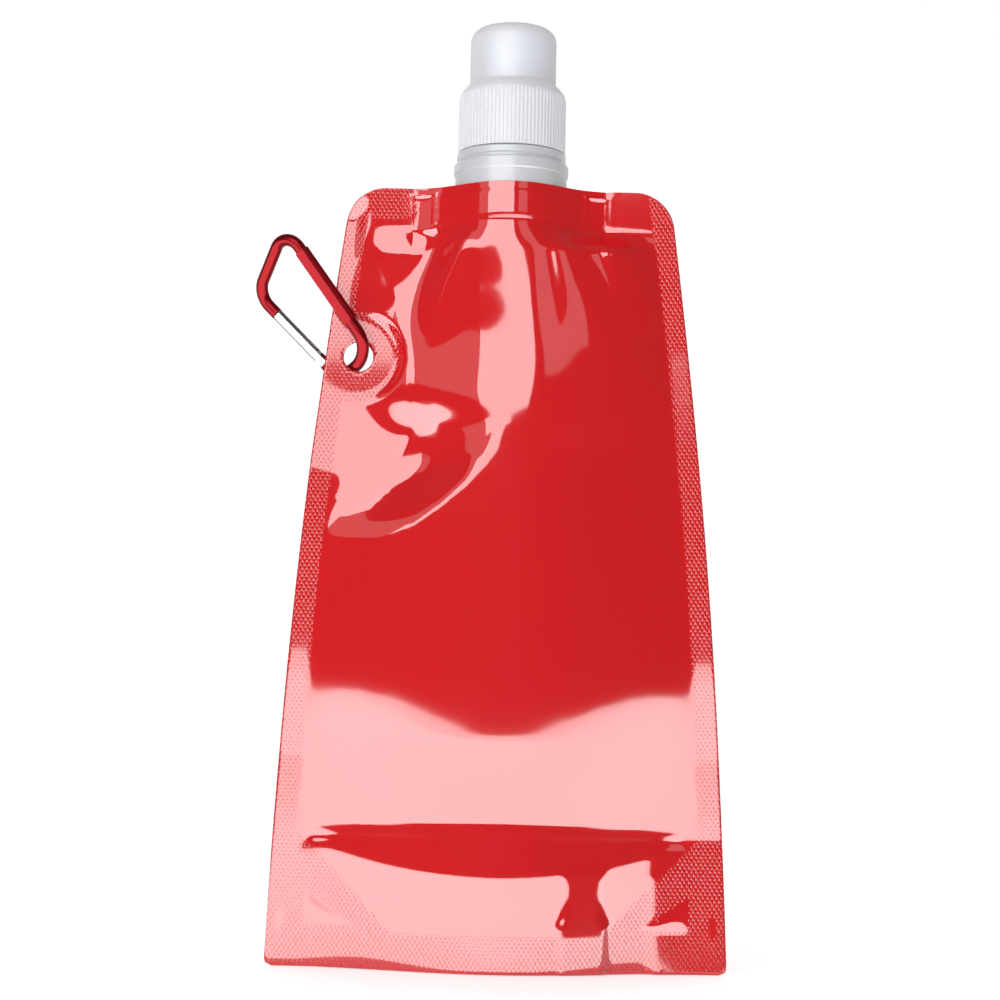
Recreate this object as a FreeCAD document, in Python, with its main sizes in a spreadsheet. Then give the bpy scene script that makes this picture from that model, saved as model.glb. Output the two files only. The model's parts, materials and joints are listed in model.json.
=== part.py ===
import FreeCAD, Part
import math
import os
import Sketcher

# Folding water bottle: a stand-up pouch of welded film with a moulded spout, a screw cap with a
# push-pull nozzle and a dust cap, and a small snap carabiner through a punched hole.
# Frame: +Z up, front face towards -Y, the side seals in the plane y = 0, the bag's centre line on
# x = 0 and the hem's lower edge at z = 0. Millimetres and degrees.

V = FreeCAD.Vector
doc = FreeCAD.newDocument("FoldingWaterBottle")
sheet = doc.addObject("Spreadsheet::Sheet", "Dims")

SIZES = [
    # pouch
    ("bag_height", 215.0),
    ("base_half_width", 63.2),
    ("top_half_width", 44.2),
    ("side_bulge", 3.0),
    ("film_wall", 0.4),
    ("film_gap", 0.05),
    ("side_seal", 5.8),
    ("hem_seal", 9.5),
    ("hem_depth", 18.0),
    ("belly_depth", 20.0),
    ("gusset_fold_height", 35.0),
    ("gusset_crest_height", 24.0),
    ("gusset_side_margin", 7.4),
    ("top_corner_radius", 9.5),
    ("base_corner_radius", 2.0),
    ("fold_line_height", 105.0),
    ("fold_line_gap", 0.3),
    ("shoulder_seal", 8.0),
    ("shoulder_blend", 42.0),
    # punched hole with its welded island
    ("hole_side_offset", 41.3),
    ("hole_height", 168.0),
    ("hole_radius", 4.1),
    ("island_radius", 12.0),
    ("island_blend", 9.0),
    # spout
    ("weld_radius", 15.6),
    ("weld_half_length", 26.5),
    ("weld_height", 11.0),
    ("weld_clearance", 0.15),
    ("weld_top_drop", 1.0),
    ("weld_tip_cut", 1.2),
    ("weld_tip_half_thickness", 0.6),
    ("moulded_chamfer", 0.4),
    ("thread_root_sink", 0.2),
    ("collar_stand", 4.0),
    ("ring_radius", 16.0),
    ("ring_height", 3.4),
    ("ring_groove", 0.9),
    ("ring_groove_radius", 14.9),
    ("flange_radius", 15.2),
    ("flange_height", 2.2),
    ("neck_radius", 12.0),
    ("neck_height", 15.8),
    ("neck_wall", 2.2),
    ("thread_pitch", 4.0),
    ("thread_depth", 1.0),
    ("thread_turns", 1.5),
    ("thread_base", 2.0),
    ("thread_crest", 0.7),
    ("thread_start", 3.4),
    # screw cap
    ("cap_clearance", 0.3),
    ("cap_wall", 1.7),
    ("cap_rib_depth", 0.35),
    ("cap_rib_count", 84),
    ("cap_roof", 2.4),
    ("cap_shoulder_rise", 4.2),
    ("deck_ledge", 0.2),
    ("liner_edge_gap", 0.5),
    ("cap_thread_crest_gap", 0.3),
    ("liner_thickness", 1.2),
    ("seat_clearance", 0.05),
    ("spigot_height", 2.8),
    ("post_wall", 1.9),
    ("post_height", 7.2),
    ("post_web", 1.8),
    ("plug_radius", 2.6),
    ("port_margin", 0.15),
    # push-pull nozzle
    ("nozzle_lip_gap", 0.8),
    ("nozzle_lip_step", 1.1),
    ("nozzle_wall", 1.52),
    ("nozzle_lip_height", 3.2),
    ("nozzle_height", 9.1),
    ("nozzle_roof", 1.4),
    ("nozzle_clearance", 0.08),
    ("nozzle_seat_gap", 0.1),
    ("plug_sink", 0.2),
    # dust cap
    ("dust_radius", 12.0),
    ("dust_wall", 1.1),
    ("dust_height", 16.1),
    ("dust_roof", 1.1),
    ("dust_round", 4.0),
    ("dust_clearance", 0.08),
    # carabiner
    ("wire_radius", 1.7),
    ("spine_offset", 4.8),
    ("spine_flat_width", 4.1),
    ("spine_flat_thickness", 2.9),
    ("spine_flat_start", 9.0),
    ("spine_flat_length", 24.0),
    ("bend_radius", 7.4),
    ("bend_bottom", 1.4),
    ("crown_length", 41.2),
    ("crown_radius", 4.6),
    ("heel_length", 32.5),
    ("heel_radius", 6.0),
    ("gate_angle", 11.0),
    ("gate_length", 18.4),
    ("gate_radius", 1.65),
    ("gate_gap", 0.35),
    ("rivet_length_offset", 6.0),
    ("rivet_side_offset", 11.0),
    ("rivet_radius", 0.6),
    ("rivet_head_radius", 1.0),
    ("rivet_head_height", 0.35),
    ("rivet_clearance", 0.04),
    ("tongue_thickness", 1.3),
    ("tongue_radius", 1.5),
    ("tongue_clearance", 0.12),
    ("fork_depth", 3.2),
    ("spring_bore_radius", 1.0),
    ("spring_bore_depth", 10.5),
    ("spring_wire_radius", 0.16),
    ("spring_coils", 7),
    ("plunger_length", 2.6),
    ("plunger_tip_gap", 0.1),
    ("tilt", 38.0),
    ("lie", 126.0),
]
for row, (alias, value) in enumerate(SIZES, start=1):
    sheet.set("A%d" % row, alias)
    sheet.set("B%d" % row, "%g" % value)
    sheet.setAlias("B%d" % row, alias)
doc.recompute()


def size(alias):
    """A driving dimension, read from the sheet."""
    return float(sheet.get(alias))


def bound(text):
    """Write aliases in an expression as references to the sheet."""
    words = sorted((alias for alias, _ in SIZES), key=len, reverse=True)
    out = ""
    at = 0
    while at < len(text):
        hit = next((w for w in words if text.startswith(w, at)), None)
        if hit:
            out += "Dims." + hit
            at += len(hit)
        else:
            out += text[at]
            at += 1
    return out


# ---- small makers -----------------------------------------------------------------------------

NODES = []


def new_body(label):
    body = doc.addObject("PartDesign::Body", label)
    body.Label = label
    NODES.append(body)
    return body


def origin_part(body, role):
    return next(o for o in body.Origin.OriginFeatures if o.Role == role)


def new_sketch(body, name, role="XZ_Plane", lift=None):
    """A sketch on one of the body's own planes, lifted off it by an expression."""
    sketch = body.newObject("Sketcher::SketchObject", name)
    sketch.AttachmentSupport = [(origin_part(body, role), "")]
    sketch.MapMode = "FlatFace"
    if lift:
        sketch.setExpression("AttachmentOffset.Base.z", bound(lift))
    return sketch


def draw_outline(sketch, corners):
    """A closed outline: every corner is held by two distances bound to the sheet."""
    count = len(corners)
    for i in range(count):
        a = 2 * math.pi * i / count
        b = 2 * math.pi * (i + 1) / count
        start = V(20 + 9 * math.cos(a), 20 + 9 * math.sin(a), 0)
        end = V(20 + 9 * math.cos(b), 20 + 9 * math.sin(b), 0)
        sketch.addGeometry(Part.LineSegment(start, end), False)
    for i in range(count):
        sketch.addConstraint(Sketcher.Constraint("Coincident", i, 2, (i + 1) % count, 1))
    for i, (across, along) in enumerate(corners):
        for kind, text in (("DistanceX", across), ("DistanceY", along)):
            if text == "0":
                on_axis = Sketcher.Constraint("PointOnObject", i, 1, -2 if kind == "DistanceX" else -1)
                sketch.addConstraint(on_axis)
                continue
            held = sketch.addConstraint(Sketcher.Constraint(kind, -1, 1, i, 1, 10.0 + i))
            sketch.setExpression("Constraints[%d]" % held, bound(text))
    return sketch


def draw_circle(sketch, radius, across="0", along="0"):
    """A circle whose centre and radius are bound to the sheet."""
    ring = sketch.addGeometry(Part.Circle(V(1, 1, 0), V(0, 0, 1), 1.0), False)
    for kind, text in (("DistanceX", across), ("DistanceY", along)):
        if text == "0":
            axis = -2 if kind == "DistanceX" else -1
            sketch.addConstraint(Sketcher.Constraint("PointOnObject", ring, 3, axis))
            continue
        held = sketch.addConstraint(Sketcher.Constraint(kind, -1, 1, ring, 3, 1.0))
        sketch.setExpression("Constraints[%d]" % held, bound(text))
    held = sketch.addConstraint(Sketcher.Constraint("Radius", ring, 1.0))
    sketch.setExpression("Constraints[%d]" % held, bound(radius))
    return sketch


def revolve(body, name, corners, cut=False):
    """Turn an outline in the XZ plane once round the body's Z axis."""
    sketch = draw_outline(new_sketch(body, name + "_outline"), corners)
    feature = body.newObject("PartDesign::Groove" if cut else "PartDesign::Revolution", name)
    feature.Profile = sketch
    feature.ReferenceAxis = (origin_part(body, "Z_Axis"), [""])
    feature.Angle = 360
    body.Tip = feature
    return feature


def pad(body, name, sketch, length, both_ways=False, reverse=False):
    feature = body.newObject("PartDesign::Pad", name)
    feature.Profile = sketch
    feature.setExpression("Length", bound(length))
    feature.Midplane = both_ways
    feature.Reversed = reverse
    body.Tip = feature
    return feature


def pocket(body, name, sketch, length, both_ways=False, reverse=False):
    feature = body.newObject("PartDesign::Pocket", name)
    feature.Profile = sketch
    feature.setExpression("Length", bound(length))
    feature.Midplane = both_ways
    feature.Reversed = reverse
    body.Tip = feature
    return feature


def round_pattern(body, name, feature, count):
    pattern = body.newObject("PartDesign::PolarPattern", name)
    pattern.Originals = [feature]
    pattern.Axis = (origin_part(body, "Z_Axis"), [""])
    pattern.Angle = 360
    pattern.setExpression("Occurrences", bound(count))
    body.Tip = pattern
    return pattern


def round_edges(body, name, radius, wanted):
    """Fillet the edges of the tip that the test picks out."""
    doc.recompute()
    base = body.Tip
    names = ["Edge%d" % (i + 1) for i, e in enumerate(base.Shape.Edges) if wanted(e)]
    fillet = body.newObject("PartDesign::Fillet", name)
    fillet.Base = (base, names)
    fillet.setExpression("Radius", bound(radius))
    body.Tip = fillet
    return fillet


def ring_at(radius, height):
    """Test for a circular edge of this radius round Z at this height."""
    def test(edge):
        curve = edge.Curve
        if not isinstance(curve, Part.Circle):
            return False
        return abs(curve.Radius - radius) < 0.01 and abs(curve.Center.z - height) < 0.01
    return test


# ---- film --------------------------------------------------------------------------------------

def smooth(value, start, end):
    """0 before start, 1 after end, smooth between."""
    t = min(max((value - start) / (end - start), 0.0), 1.0)
    return t * t * (3 - 2 * t)


def half_width(z):
    t = z / size("bag_height")
    straight = size("base_half_width") + (size("top_half_width") - size("base_half_width")) * t
    return straight + size("side_bulge") * 4 * t * (1 - t)


def weld_depth(x):
    """Half depth of the spout's boat-shaped weld: a circle with its two tangents to the tips."""
    r = size("weld_radius") + size("weld_clearance")
    tip = size("weld_half_length")
    touch = r * r / tip
    if abs(x) <= touch:
        return math.sqrt(r * r - x * x)
    if abs(x) >= tip:
        return 0.0
    return math.sqrt(r * r - touch * touch) * (tip - abs(x)) / (tip - touch)


def film_depth(x, z):
    """How far the film stands off the seal plane at this place."""
    t = z / size("bag_height")
    depth = size("hem_depth") + (size("belly_depth") - size("hem_depth")) * 4 * t * (1 - t)
    u = min(abs(x) / (half_width(z) - size("side_seal")), 1.0)
    body = depth * (1 - u * u) ** 1.5
    seal_at = size("bag_height") - size("shoulder_seal")
    to_weld = smooth(z, seal_at - size("shoulder_blend"), seal_at)
    away = math.hypot(x + size("hole_side_offset"), z - size("hole_height"))
    island = smooth(away, size("island_radius"), size("island_radius") + size("island_blend"))
    return (body * (1 - to_weld) + weld_depth(x) * to_weld) * island


COLUMNS = 44
ROW_STEP = 4.0
DEGREE = 3
TRIM = 1.0
REACH = 30.0


def draped_surface(grid):
    """A surface pulled towards a grid of points, which never swings past them."""
    spans = [len(grid) - DEGREE, len(grid[0]) - DEGREE]
    knots = [list(range(count + 1)) for count in spans]
    mults = [[DEGREE + 1] + [1] * (count - 1) + [DEGREE + 1] for count in spans]
    surface = Part.BSplineSurface()
    surface.buildFromPolesMultsKnots(
        grid, mults[0], mults[1], knots[0], knots[1], False, False, DEGREE, DEGREE)
    return surface


def film_panel(label, side, low, high):
    """One welded film panel between two heights; side is -1 in front and +1 behind."""
    hem = low <= 0
    if hem:
        low -= TRIM
    rows = max(int(round((high - low) / ROW_STEP)), DEGREE + 1)
    grid = []
    for j in range(rows + 1):
        z = low + (high - low) * j / rows
        line = []
        for i in range(COLUMNS + 1):
            x = half_width(z) * (2 * i / COLUMNS - 1)
            line.append(V(x, side * (size("film_gap") + film_depth(x, z)), z))
        grid.append(line)
    solid = draped_surface(grid).toShape().extrude(V(0, side * size("film_wall"), 0))
    if high >= size("bag_height"):
        solid = solid.cut(corner_tool(size("bag_height"), size("top_corner_radius"), 1))
        middle = V(-size("hole_side_offset"), -REACH, size("hole_height"))
        solid = solid.cut(Part.makeCylinder(size("hole_radius"), 2 * REACH, middle, V(0, 1, 0)))
    if hem:
        wide = size("base_half_width") + TRIM
        solid = solid.cut(Part.makeBox(2 * wide, 2 * REACH, 2 * TRIM, V(-wide, -REACH, -2 * TRIM)))
        solid = solid.cut(corner_tool(0.0, size("base_corner_radius"), -1))
    piece = doc.addObject("Part::Feature", label)
    piece.Label = label
    piece.Shape = solid
    piece.Placement = FreeCAD.Placement()
    NODES.append(piece)
    return piece


def corner_tool(edge, radius, up):
    """What is cut away to round the two outer corners at a height; up is +1 for the top edge."""
    level = edge - up * radius
    tools = []
    for side in (-1, 1):
        middle = side * (half_width(level) - radius)
        low = min(level, edge + up * TRIM)
        wide = radius + 4 * TRIM
        left = middle if side > 0 else middle - wide
        box = Part.makeBox(wide, 2 * REACH, radius + TRIM, V(left, -REACH, low))
        tools.append(box.cut(Part.makeCylinder(radius, 2 * REACH, V(middle, -REACH, level), V(0, 1, 0))))
    return tools[0].fuse(tools[1])


def bottom_gusset():
    """The W-fold opened out: an arch of film across the base, highest at the side folds."""
    reach = half_width(size("hem_seal")) - size("side_seal") - size("gusset_side_margin")
    along = 24
    across = 14
    grid = []
    for i in range(along + 1):
        u = 2 * i / along - 1
        x = u * reach
        edge = film_depth(x, size("hem_seal")) - size("film_gap")
        top = size("gusset_crest_height")
        top += (size("gusset_fold_height") - top) * u * u
        line = []
        for j in range(across + 1):
            v = 2 * j / across - 1
            rise = (top - size("hem_seal")) * (1 - v * v)
            line.append(V(x, edge * v, size("hem_seal") + rise))
        grid.append(line)
    piece = doc.addObject("Part::Feature", "bottom_gusset")
    piece.Label = "bottom_gusset"
    piece.Shape = draped_surface(grid).toShape().extrude(V(0, 0, size("film_wall")))
    piece.Placement = FreeCAD.Placement()
    NODES.append(piece)
    return piece


split = size("fold_line_height")
gap = size("fold_line_gap")
film_panel("front_panel_lower", -1, 0.0, split - gap / 2)
film_panel("front_panel_upper", -1, split + gap / 2, size("bag_height"))
film_panel("back_panel_lower", 1, 0.0, split - gap / 2)
film_panel("back_panel_upper", 1, split + gap / 2, size("bag_height"))
bottom_gusset()

# ---- spout ---------------------------------------------------------------------------------------

WELD_LOW = "bag_height - weld_top_drop - weld_height"
COLLAR_TOP = "bag_height + collar_stand"
RING_TOP = COLLAR_TOP + " + ring_height"
FLANGE_LOW = RING_TOP + " + ring_groove"
FLANGE_TOP = FLANGE_LOW + " + flange_height"
NECK_TOP = FLANGE_TOP + " + neck_height"

spout = new_body("spout")
revolve(spout, "spout_turned", [
    ("0", WELD_LOW),
    ("weld_radius", WELD_LOW),
    ("weld_radius", COLLAR_TOP),
    ("ring_radius - moulded_chamfer", COLLAR_TOP),
    ("ring_radius", COLLAR_TOP + " + moulded_chamfer"),
    ("ring_radius", RING_TOP + " - moulded_chamfer"),
    ("ring_radius - moulded_chamfer", RING_TOP),
    ("ring_groove_radius", RING_TOP),
    ("ring_groove_radius", FLANGE_LOW),
    ("flange_radius - moulded_chamfer", FLANGE_LOW),
    ("flange_radius", FLANGE_LOW + " + moulded_chamfer"),
    ("flange_radius", FLANGE_TOP + " - moulded_chamfer"),
    ("flange_radius - moulded_chamfer", FLANGE_TOP),
    ("neck_radius", FLANGE_TOP),
    ("neck_radius", NECK_TOP + " - moulded_chamfer"),
    ("neck_radius - moulded_chamfer", NECK_TOP),
    ("0", NECK_TOP),
])


def weld_boat(body):
    """The weld's wings: the tangents from the collar out to the two blunt tips."""
    sketch = new_sketch(body, "weld_boat_outline", "XY_Plane", WELD_LOW)
    touch = "(weld_radius * weld_radius / weld_half_length)"
    swell = "sqrt(weld_radius * weld_radius - " + touch + " * " + touch + ")"
    tip = "weld_half_length - weld_tip_cut"
    blunt = "weld_tip_half_thickness"
    corners = [(tip, blunt), (touch, swell), ("-" + touch, swell), ("-(" + tip + ")", blunt),
               ("-(" + tip + ")", "-" + blunt), ("-" + touch, "-" + swell), (touch, "-" + swell),
               (tip, "-" + blunt)]
    draw_outline(sketch, corners)
    return pad(body, "weld_boat", sketch, "weld_height")


weld_boat(spout)


def add_thread(body, name, root, crest, start):
    """A ridge wound round Z: root and crest are radii, start the height of its middle."""
    sketch = draw_outline(new_sketch(body, name + "_outline"), [
        (root, start + " - thread_base / 2"),
        (crest, start + " - thread_crest / 2"),
        (crest, start + " + thread_crest / 2"),
        (root, start + " + thread_base / 2"),
    ])
    helix = body.newObject("PartDesign::AdditiveHelix", name)
    helix.Profile = sketch
    helix.ReferenceAxis = (origin_part(body, "Z_Axis"), [""])
    helix.Mode = "pitch-turns-angle"
    helix.setExpression("Pitch", bound("thread_pitch"))
    helix.setExpression("Turns", bound("thread_turns"))
    body.Tip = helix
    return helix


THREAD_AT = FLANGE_TOP + " + thread_start"
add_thread(spout, "spout_thread", "neck_radius - thread_root_sink", "neck_radius + thread_depth", THREAD_AT)
bore = draw_circle(new_sketch(spout, "spout_bore_outline", "XY_Plane", NECK_TOP), "neck_radius - neck_wall")
pocket(spout, "spout_bore", bore, "bag_height")

# ---- screw cap with its liner --------------------------------------------------------------------

CAP_LOW = FLANGE_TOP + " + cap_clearance"
CAP_BORE = "(neck_radius + thread_depth + cap_thread_crest_gap)"
CAP_RADIUS = "(" + CAP_BORE + " + cap_wall)"
LINER_LOW = NECK_TOP + " + seat_clearance"
CEILING = LINER_LOW + " + liner_thickness + seat_clearance"
DECK = CEILING + " + cap_roof"
SPIGOT_TOP = DECK + " + spigot_height"
SPIGOT_RADIUS = "dust_radius - dust_wall - dust_clearance"
LIP_RADIUS = "(dust_radius - dust_wall - nozzle_lip_gap)"
NOZZLE_RADIUS = "(" + LIP_RADIUS + " - nozzle_lip_step)"
NOZZLE_BORE = "(" + NOZZLE_RADIUS + " - nozzle_wall)"
POST_RADIUS = "(" + NOZZLE_BORE + " - nozzle_clearance)"
POST_BORE = "(" + POST_RADIUS + " - post_wall)"
POST_TOP = SPIGOT_TOP + " + post_height"
NOZZLE_LOW = SPIGOT_TOP + " + nozzle_seat_gap"
NOZZLE_TOP = NOZZLE_LOW + " + nozzle_height"
PLUG_TOP = NOZZLE_TOP + " - plug_sink"

liner = new_body("cap_liner")
revolve(liner, "liner_turned", [
    (POST_BORE, LINER_LOW),
    (CAP_BORE + " - liner_edge_gap", LINER_LOW),
    (CAP_BORE + " - liner_edge_gap", LINER_LOW + " + liner_thickness"),
    (POST_BORE, LINER_LOW + " + liner_thickness"),
])

cap = new_body("screw_cap")
revolve(cap, "cap_turned", [
    ("0", CEILING),
    (CAP_BORE, CEILING),
    (CAP_BORE, CAP_LOW + " + moulded_chamfer"),
    (CAP_BORE + " + moulded_chamfer", CAP_LOW),
    (CAP_RADIUS + " - moulded_chamfer", CAP_LOW),
    (CAP_RADIUS, CAP_LOW + " + moulded_chamfer"),
    (CAP_RADIUS, DECK + " - cap_shoulder_rise"),
    (CAP_RADIUS + " - cap_wall * 0.3", DECK + " - cap_shoulder_rise * 0.64"),
    (CAP_RADIUS + " - cap_wall * 0.76", DECK + " - cap_shoulder_rise * 0.36"),
    ("dust_radius + deck_ledge", DECK),
    (SPIGOT_RADIUS, DECK),
    (SPIGOT_RADIUS, SPIGOT_TOP + " - moulded_chamfer"),
    (SPIGOT_RADIUS + " - moulded_chamfer", SPIGOT_TOP),
    (POST_RADIUS, SPIGOT_TOP),
    (POST_RADIUS, POST_TOP + " - moulded_chamfer"),
    (POST_RADIUS + " - moulded_chamfer", POST_TOP),
    ("plug_radius", POST_TOP),
    ("plug_radius", PLUG_TOP + " - moulded_chamfer"),
    ("plug_radius - moulded_chamfer", PLUG_TOP),
    ("0", PLUG_TOP),
])
drill = draw_circle(new_sketch(cap, "post_bore_outline", "XY_Plane", POST_TOP + " - post_web"), POST_BORE)
pocket(cap, "post_bore", drill, "post_height + spigot_height + cap_roof + 1")
port = draw_circle(new_sketch(cap, "port_outline", "XY_Plane", POST_TOP),
                   "(" + POST_BORE + " - plug_radius) / 2 - port_margin",
                   "(" + POST_BORE + " + plug_radius) / 2")
port_cut = pocket(cap, "port", port, "post_web + 1")
round_pattern(cap, "ports", port_cut, "4")
add_thread(cap, "cap_thread", CAP_BORE + " + thread_root_sink", "neck_radius + cap_thread_crest_gap",
           THREAD_AT + " + thread_pitch / 2")
groove = draw_circle(new_sketch(cap, "rib_groove_outline", "XY_Plane", CAP_LOW + " - 1"),
                     "cap_rib_depth", CAP_RADIUS)
groove_cut = pocket(cap, "rib_groove", groove, "neck_height + cap_roof + cap_shoulder_rise", reverse=True)
round_pattern(cap, "rib_grooves", groove_cut, "cap_rib_count")

# ---- push-pull nozzle ----------------------------------------------------------------------------

nozzle = new_body("pull_nozzle")
LIP_LOW = NOZZLE_TOP + " - nozzle_lip_height"
revolve(nozzle, "nozzle_turned", [
    (NOZZLE_BORE, NOZZLE_LOW),
    (NOZZLE_RADIUS, NOZZLE_LOW),
    (NOZZLE_RADIUS, LIP_LOW + " - nozzle_lip_step"),
    (LIP_RADIUS + " - nozzle_lip_step * 0.2", LIP_LOW),
    (LIP_RADIUS, LIP_LOW + " + nozzle_lip_height * 0.12"),
    (LIP_RADIUS, LIP_LOW + " + nozzle_lip_height * 0.3"),
    (LIP_RADIUS + " - nozzle_lip_step * 0.45", LIP_LOW + " + nozzle_lip_height * 0.6"),
    (LIP_RADIUS + " - nozzle_lip_step * 2", NOZZLE_TOP),
    ("plug_radius + nozzle_clearance", NOZZLE_TOP),
    ("plug_radius + nozzle_clearance", NOZZLE_TOP + " - nozzle_roof"),
    (NOZZLE_BORE + " - 1", NOZZLE_TOP + " - nozzle_roof"),
    (NOZZLE_BORE, NOZZLE_TOP + " - nozzle_roof - 1"),
])

# ---- dust cap ------------------------------------------------------------------------------------

dust = new_body("dust_cap")
DUST_LOW = DECK + " + seat_clearance"
DUST_TOP = DUST_LOW + " + dust_height"
revolve(dust, "dust_turned", [
    ("0", DUST_TOP + " - dust_roof"),
    ("dust_radius - dust_wall", DUST_TOP + " - dust_roof"),
    ("dust_radius - dust_wall", DUST_LOW),
    ("dust_radius", DUST_LOW),
    ("dust_radius", DUST_TOP),
    ("0", DUST_TOP),
])
doc.recompute()
dust_top = dust.Shape.BoundBox.ZMax
round_edges(dust, "dust_round_outside", "dust_round", ring_at(size("dust_radius"), dust_top))
round_edges(dust, "dust_round_inside", "dust_round - dust_wall",
            ring_at(size("dust_radius") - size("dust_wall"), dust_top - size("dust_roof")))

# ---- carabiner -----------------------------------------------------------------------------------
# Its own frame: X along the spine away from the hole, Y across towards the spine, Z out of its
# plane. The origin is the middle of the punched hole.

lie = math.radians(size("lie"))
tilt = math.radians(size("tilt"))
along_spine = V(math.cos(lie), 0, math.sin(lie))
to_spine = V(math.sin(lie) * math.cos(tilt), -math.sin(tilt), -math.cos(lie) * math.cos(tilt))
out_of_plane = along_spine.cross(to_spine)
carabiner_place = FreeCAD.Placement(FreeCAD.Matrix(
    along_spine.x, to_spine.x, out_of_plane.x, -size("hole_side_offset"),
    along_spine.y, to_spine.y, out_of_plane.y, 0,
    along_spine.z, to_spine.z, out_of_plane.z, size("hole_height"),
    0, 0, 0, 1))
gate_turn = FreeCAD.Placement(
    V(size("rivet_length_offset"), -size("rivet_side_offset"), 0),
    FreeCAD.Rotation(V(0, 0, 1), -size("gate_angle")))


def rounded_path(sketch, points, radii):
    """Straight runs joined by tangent arcs, through a list of corners."""
    start = points[0]
    for i in range(1, len(points)):
        corner = points[i]
        if i == len(points) - 1:
            sketch.addGeometry(Part.LineSegment(start, corner), False)
            break
        back = (points[i - 1] - corner).normalize()
        ahead = (points[i + 1] - corner).normalize()
        half = math.acos(max(-1, min(1, back.dot(ahead)))) / 2
        leg = radii[i - 1] / math.tan(half)
        first = corner + back * leg
        last = corner + ahead * leg
        middle = corner + (back + ahead).normalize() * (radii[i - 1] / math.sin(half))
        halfway = middle + (corner - middle).normalize() * radii[i - 1]
        sketch.addGeometry(Part.LineSegment(start, first), False)
        sketch.addGeometry(Part.Arc(first, halfway, last), False)
        start = last
    for i in range(sketch.GeometryCount - 1):
        sketch.addConstraint(Sketcher.Constraint("Coincident", i, 2, i + 1, 1))
    for i in range(sketch.GeometryCount):
        sketch.addConstraint(Sketcher.Constraint("Block", i))
    return sketch


def gate_line(x):
    """The gate's centre line, and the nose's, at this distance along the spine."""
    slope = math.tan(math.radians(size("gate_angle")))
    return -size("rivet_side_offset") - (x - size("rivet_length_offset")) * slope


frame = new_body("carabiner_frame")
nose_at = size("rivet_length_offset") + (size("gate_length") + size("gate_gap")) \
    * math.cos(math.radians(size("gate_angle")))
neck_at = size("rivet_length_offset") - size("tongue_radius") - 1.0
path_points = [
    V(nose_at, gate_line(nose_at), 0),
    V(size("heel_length"), gate_line(size("heel_length")), 0),
    V(size("crown_length"), size("spine_offset"), 0),
    V(-size("bend_bottom"), size("spine_offset"), 0),
    V(-size("bend_bottom"), gate_line(-size("bend_bottom")), 0),
    V(neck_at, gate_line(neck_at), 0),
]
path_radii = [size("heel_radius"), size("crown_radius"), size("bend_radius"), size("bend_radius")]
wire_path = rounded_path(new_sketch(frame, "wire_path", "XY_Plane"), path_points, path_radii)
wire_end = frame.newObject("Sketcher::SketchObject", "wire_section")
wire_end.AttachmentSupport = [(wire_path, "Edge1")]
wire_end.MapMode = "NormalToEdge"
wire_end.MapReversed = False
draw_circle(wire_end, "wire_radius")
wire = frame.newObject("PartDesign::AdditivePipe", "wire")
wire.Profile = wire_end
wire.Spine = (wire_path, ["Edge%d" % (i + 1) for i in range(wire_path.GeometryCount)])
frame.Tip = wire
doc.recompute()


def at_rivet(sketch):
    """Move a sketch of the frame to the rivet, turned into line with the gate."""
    sketch.setExpression("AttachmentOffset.Base.x", bound("rivet_length_offset"))
    sketch.setExpression("AttachmentOffset.Base.y", bound("-rivet_side_offset"))
    sketch.setExpression("AttachmentOffset.Rotation.Yaw", bound("-gate_angle"))
    return sketch


# the spine is pressed flat between the two bends
for name, sign in (("press_top", ""), ("press_under", "-")):
    press = new_sketch(frame, name + "_outline", "YZ_Plane", "spine_flat_start")
    half = sign + "(spine_flat_thickness / 2)"
    clear = sign + "(wire_radius + 1)"
    draw_outline(press, [("spine_offset - wire_radius - 1", half), ("spine_offset + wire_radius + 1", half),
                         ("spine_offset + wire_radius + 1", clear), ("spine_offset - wire_radius - 1", clear)])
    pocket(frame, name, press, "spine_flat_length", reverse=True)
flat = new_sketch(frame, "spine_flat_outline", "YZ_Plane", "spine_flat_start")
draw_outline(flat, [
    ("spine_offset - spine_flat_width / 2", "-(spine_flat_thickness / 2 - 0.8)"),
    ("spine_offset - spine_flat_width / 2 + 0.6", "-spine_flat_thickness / 2"),
    ("spine_offset + spine_flat_width / 2 - 0.6", "-spine_flat_thickness / 2"),
    ("spine_offset + spine_flat_width / 2", "-(spine_flat_thickness / 2 - 0.8)"),
    ("spine_offset + spine_flat_width / 2", "spine_flat_thickness / 2 - 0.8"),
    ("spine_offset + spine_flat_width / 2 - 0.6", "spine_flat_thickness / 2"),
    ("spine_offset - spine_flat_width / 2 + 0.6", "spine_flat_thickness / 2"),
    ("spine_offset - spine_flat_width / 2", "spine_flat_thickness / 2 - 0.8"),
])
pad(frame, "spine_flat", flat, "spine_flat_length")

# the tongue that the forked gate turns on, square ended so that the plunger holds the gate shut
tongue = at_rivet(new_sketch(frame, "tongue_outline", "XY_Plane"))
draw_outline(tongue, [
    ("-(tongue_radius + 2.4)", "-tongue_radius"),
    ("tongue_radius", "-tongue_radius"),
    ("tongue_radius", "tongue_radius"),
    ("-(tongue_radius + 2.4)", "tongue_radius"),
])
pad(frame, "tongue", tongue, "tongue_thickness", both_ways=True)
hinge_hole = at_rivet(new_sketch(frame, "hinge_hole_outline", "XY_Plane"))
draw_circle(hinge_hole, "rivet_radius + rivet_clearance")
pocket(frame, "hinge_hole", hinge_hole, "tongue_thickness + 1", both_ways=True)
frame.Placement = carabiner_place

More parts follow.
